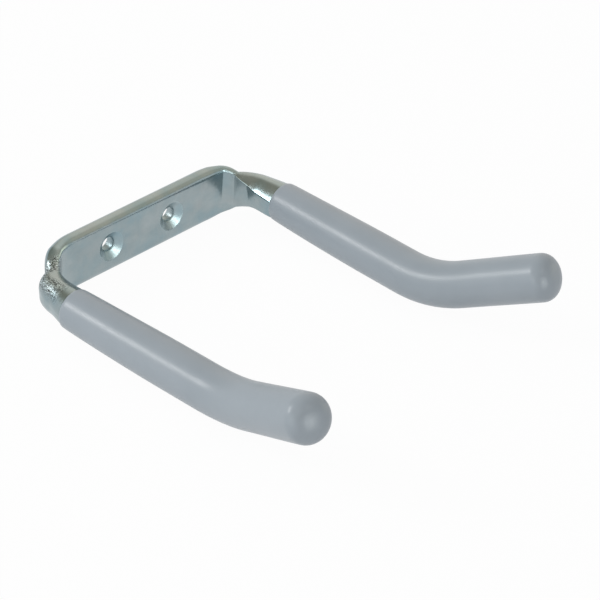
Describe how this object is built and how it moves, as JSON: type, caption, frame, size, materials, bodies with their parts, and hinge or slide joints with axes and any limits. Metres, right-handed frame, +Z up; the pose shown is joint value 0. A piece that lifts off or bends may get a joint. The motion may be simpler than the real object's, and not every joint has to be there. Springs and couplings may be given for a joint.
{
  "type": "garage utility hook",
  "caption": "U-shaped wall hook of bent steel tube, pressed flat in the middle as a screw-on plate, with soft grey closed coats on arms that turn up and out at the tips.",
  "frame": {"origin": "middle of the plate's back face, between the screw holes, on the wall plane", "axes": "+X right as seen from the room, +Y into the wall, +Z up; the arms point along -Y"},
  "size_m": [0.1346, 0.15, 0.0391],
  "materials": {
    "zinc_plate": "bright zinc plating",
    "grey_coat": "satin soft vinyl"
  },
  "bodies": {
    "root": {"bent_tube": "zinc_plate", "left_sleeve": "grey_coat", "right_sleeve": "grey_coat"}
  },
  "joints": []
}
